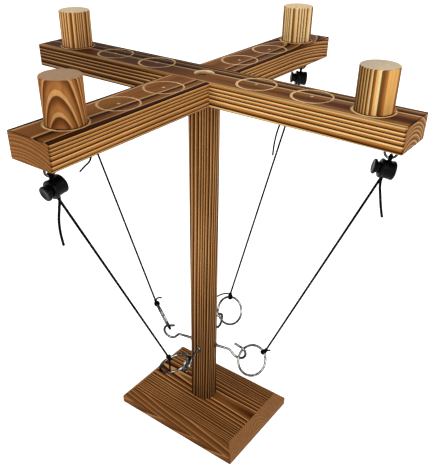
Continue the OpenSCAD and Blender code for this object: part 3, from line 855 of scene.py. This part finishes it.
def makeButtons():
    d = lock
    head = d["start"] - d["headGap"] - d["buttonThick"]
    end = d["stemEnd"] - head
    b, t, stem, spring = d["buttonRadius"], d["buttonThick"], d["stem"], d["spring"]
    floor = end - d["travel"] - 0.2
    for i, name in enumerate(arms):
        bm = lathe([(0, 0.35), (b * 0.5, 0.3), (b * 0.62, 0.05), (b - 0.9, 0), (b - 0.2, 0.3), (b, 0.8),
                    (b, t - 0.5), (b - 0.3, t - 0.1), (b - 0.8, t), (stem, t), (stem, end - 0.3),
                    (stem - 0.3, end), (spring + 0.25, end), (spring + 0.2, floor), (0, floor)], steps=64)
        alongX(bm, head)
        piece = makeObject(bm, "lock_button_moulded_" + name, plasticMat)
        slot = boxMesh((-d["room"] - d["travel"], -d["slotWide"], -d["reach"]),
                       (d["room"], d["slotWide"], d["reach"]))
        cutWith(piece, [makeObject(slot, "slot", plasticMat)])
        piece.data.transform(lockPlace(i))
        settle(piece, "button_" + name, "black_plastic", "lock_button_" + name)


def makeSprings():
    d = lock
    wire, turn = d["springWire"], d["coilSteps"]
    start = d["stemEnd"] + wire / 2
    span = d["start"] + d["long"] - d["wall"] - d["stemEnd"] - wire
    middle, steps = d["spring"] - wire / 2, d["coils"] * turn
    coil = [Vector((start + span * s / steps, middle * cos(2 * pi * s / turn),
                    middle * sin(2 * pi * s / turn))) * mm for s in range(steps + 1)]
    for i, name in enumerate(arms):
        mesh = tubeAlong([lockPlace(i) @ p for p in coil], wire, "spring", sides=1)
        piece = tubePiece(mesh, "lock_spring_coil_" + name, springMat)
        settle(piece, "line_" + name, "spring_steel", "lock_spring_" + name)


# strings: knot to lock, over the eye, and back down to a loose end; 0.2 thicker than in the solids
string = {"diameter": 2.0, "knotRadius": 1.8, "knotGap": 0.05, "strandY": 1.05, "loopRadius": 2.1,
          "exit": 7.8, "loopSteps": 5, "between": 6, "runShares": [0.68, 0.35, 0.02],
          "tails": [[(156.4, -0.8, 308), (157.6, -0.4, 301), (159, 0, 293.5), (161.2, 0.6, 284.3)],
                    [(153, 2.5, 302), (149, 8.5, 287), (145.3, 13.6, 270), (144.6, 16.8, 254),
                     (145, 18.3, 238.4)],
                    [(153.2, -2.2, 296), (147.5, -3.6, 272), (144.9, -4, 254), (148.5, -4, 245.1),
                     (156.5, -4, 237.4), (164.9, -4, 229.2)],
                    [(157.6, 0.2, 306), (158.3, -1.2, 296), (158.6, -1, 286.5), (158.3, 0.1, 277.5)]]}


def stringRoute(i):
    s = string
    side, loop, below = s["strandY"], s["loopRadius"], layout["lockBelowEye"]
    heights = [-s["exit"], 0, lock["radius"]]
    way = [Vector((0, side, z)) for z in heights]
    for k in range(s["loopSteps"] + 1):
        a = pi * k / s["loopSteps"]
        way.append(Vector((0, loop * cos(a), below + loop * sin(a))))
    way += [Vector((0, -side, z)) for z in reversed(heights)]
    way = [lockPlace(i) @ (p * mm) for p in way]
    angle, out = radians(layout["knotPlaces"][i]), ring["radius"] + knot["out"]
    tie = ringPlace(i) @ (Vector((out * cos(angle), out * sin(angle), 0)) * mm)
    toLock = (way[0] - tie).normalized()
    start = tie + toLock * (s["knotRadius"] + s["knotGap"]) * mm
    run = [start] + [way[0] + (start - way[0]) * share for share in s["runShares"]]
    tail = [armPlace(i) @ (Vector(p) * mm) for p in s["tails"][i]]
    return run + way + tail


def makeStrings():
    for i, name in enumerate(arms):
        route = stringRoute(i)
        path = smoothPath(route, string["between"])
        mesh = tubeAlong(path, string["diameter"], "string_" + name)
        piece = tubePiece(mesh, "black_string_" + name, stringMat)
        settle(piece, "line_" + name, "black_string", "string_" + name)


# looks of the boards; pith is a point of the line where the tree's middle lay, in mm
longPine = burntPine("pine_long_arm", {
    "pith": (0, -8, 328), "grain": (1, 0.012, 0.004), "ring": 3.0, "phase": 0.66,
    "scorch": (-0.06, 0.1), "low": (140, 78, 26), "high": (192, 128, 56), "pale": (255, 216, 150),
    "darkLine": 0.22, "paleLine": 0.28, "topLines": (0.5, 1.6), "lineStrength": 0.937, "topScorch": 0.38,
    "topFades": [(0, 120, 10, 0.14), (0, -10, -60, 0.04)], "fades": [(0, 10, -60, 0.68)],
    "half": (174, 19, 9.5), "middle": (0, 0, 350.5), "rim": 0.45, "tints": [(0, 0.55, (132, 84, 48), 0.8)]})
crossPine = burntPine("pine_cross_arm", {
    "pith": (-5, 0, 300), "grain": (0, 1, 0), "ring": 2.5, "phase": 0.44, "wander": 1.6,
    "scorch": (0.0, 0.2), "low": (152, 88, 32), "high": (198, 134, 66),
    "darkLine": 0.28, "paleLine": 0.2, "topLines": (0.6, 0.8), "lineStrength": 0.916, "topScorch": 0.4,
    "fades": [(1, 20, 150, 0.12)], "sweep": (100, 0.0011),
    "half": (19, 174, 9.5), "middle": (0, 0, 350.5), "rim": 0.45, "tints": [(1, 0.7, (136, 84, 42), 0.8)]})
postPine = burntPine("pine_post", {
    "pith": (38, 22, 180), "grain": (0.01, 0.006, 1), "ring": 2.4, "wander": 2.5, "stretch": 4,
    "scorch": (0.11, 0.33), "low": (132, 74, 28), "high": (194, 132, 70), "pale": (255, 208, 142),
    "paleLine": 0.2, "darkLine": 0.34, "lineStrength": 0.937,
    # the second fade darkens the post's -x side: partly burn, partly painted shade
    "fades": [(2, 200, 20, 0.52), (0, -4, -12, 0.3)]})
basePine = burntPine("pine_base", {
    "pith": (0, 3, -4), "grain": (1, -0.05, 0.012), "ring": 2.3, "phase": 0.02, "wander": 2.6, "stretch": 7,
    "scorch": (0.18, 0.46), "low": (122, 70, 28), "high": (166, 108, 54), "pale": (236, 180, 116),
    "paleLine": 0.22, "darkLine": 0.26, "topLines": (0.75, 1.0), "lineStrength": 0.896,
    "half": (72, 52, 9), "middle": (0, 0, 9), "rim": 0.4,
    "tints": [(0, 0.75, (148, 102, 62), 0.5), (1, 0.5, (116, 72, 36), 0.5)]})
pegLooks = [
    {"pith": (121, 10, 375), "grain": (0, 0, 1), "ring": 2.2, "phase": 0.7, "scorch": (-0.1, 0.05),
     "low": (172, 104, 42), "high": (242, 184, 104), "pale": (255, 230, 164), "char": (84, 40, 10),
     "darkLine": 0.36, "lineStrength": 0.833, "fades": [(0, 147, 131, 0.8)],
     "tints": [(2, 0.8, (206, 190, 164), 0.8)]},
    {"pith": (-16, 128, 375), "grain": (0, 0.03, 1), "ring": 2.9, "phase": 0.5, "scorch": (-0.1, 0.05),
     "low": (176, 116, 58), "high": (248, 202, 132), "pale": (255, 234, 178), "char": (74, 36, 12),
     "darkLine": 0.32, "lineStrength": 0.791, "uneven": 0.4, "tints": [(2, 0.8, (228, 200, 160), 0.8)]},
    {"pith": (-122, 16, 375), "grain": (0.02, 0, 1), "ring": 2.5, "phase": 0.1, "scorch": (0.0, 0.15),
     "low": (158, 100, 46), "high": (210, 152, 84), "pale": (250, 204, 140), "char": (84, 42, 14),
     "darkLine": 0.34, "lineStrength": 0.812, "uneven": 0.4, "tints": [(2, 0.8, (214, 194, 164), 0.8)]},
    {"pith": (-13, -126, 375), "grain": (0.07, -0.12, 1), "ring": 1.9, "phase": 0.4, "wander": 2.4,
     "scorch": (0.0, 0.2), "low": (134, 80, 36), "high": (180, 118, 62), "pale": (226, 168, 106),
     "char": (100, 54, 22), "paleLine": 0.24, "darkLine": 0.2, "lineStrength": 0.833,
     "tints": [(2, 0.8, (165, 138, 110), 0.8)]}]
pegPines = [burntPine("pine_peg_" + name, look) for name, look in zip(arms, pegLooks)]
print("wood made")

makeStrings()
print("strings laid")
makeBase()
makePost()
makeArm("long_arm_burnt", 0, longPine, "long_beam")
makeArm("cross_arm_burnt", 90, crossPine, "cross_beam")
makePegs()
print("wooden pieces made")
makeScrew("hub_screw_crosshead", screw["hub"], move(0, 0, layout["armTop"] - arm["hubDeep"]), "hub_screw")
makeScrew("base_screw_crosshead", screw["base"], move(0, 0, base["recessDepth"]) @ spinX(180), "base_screw")
makeHooks()
makeEyes()
makeRings()
makeKnots()
print("steel and knots made")
makeBarrels()
makeButtons()
makeSprings()
print("cord locks made")

# floor, background and lamps; a lamp is its name, place, size in mm and power
studio = {"world": 0.62, "floorGlow": 0.8, "floorTone": (250, 250, 250), "floorRadius": 3.0,
          "floorDrop": 0.00005, "aim": (0, 0, 200),
          "lamps": [("key", (-700, -1100, 1300), 900, 9.0), ("side", (1300, -300, 900), 700, 5.0),
                    ("back", (-300, 1200, 1100), 800, 3.0)]}


def seenDirectly(n):   # 1 for rays that show the background or floor itself, 0 for those that light things
    ray = n.add("LightPath").outputs
    seen = n.calc("MAXIMUM", ray["Is Camera Ray"], ray["Is Glossy Ray"])
    return n.calc("MAXIMUM", seen, ray["Is Transmission Ray"])


def makeWorld():
    world = bpy.data.worlds.new("studio")
    bpy.context.scene.world = world
    n = Nodes(world)
    n.tree.nodes.clear()
    lighting = n.add("Background", white, studio["world"]).outputs[0]
    backdrop = n.add("Background", white, 1.0).outputs[0]
    n.add("OutputWorld", n.add("MixShader", seenDirectly(n), lighting, backdrop).outputs[0])


def makeLamps():
    for name, place, size, power in studio["lamps"]:
        light = bpy.data.lights.new(name, "AREA")
        light.shape = "SQUARE"
        light.size = size * mm
        light.energy = power
        lamp = linkObject(name, light)
        lamp.location = Vector(place) * mm
        aim = Vector(studio["aim"]) * mm - lamp.location
        lamp.rotation_mode = "QUATERNION"
        lamp.rotation_quaternion = aim.to_track_quat("-Z", "Y")


def makeFloor():
    n = Nodes(bpy.data.materials.new("floor_white"))
    glow = n.calc("MULTIPLY", seenDirectly(n), studio["floorGlow"])
    floorMat = n.surface({"Base Color": rgb(*studio["floorTone"]), "Roughness": 0.9,
                          "Specular IOR Level": 0.0, "Emission Color": white, "Emission Strength": glow})
    bm = bmesh.new()
    bmesh.ops.create_circle(bm, cap_ends=True, segments=96, radius=studio["floorRadius"])
    floor = makeObject(bm, "floor", floorMat)
    for corner in floor.data.vertices:
        corner.co.z = -studio["floorDrop"]


makeWorld()
makeLamps()
makeFloor()
bpy.context.scene.view_settings.view_transform = "Standard"
print("studio lit")
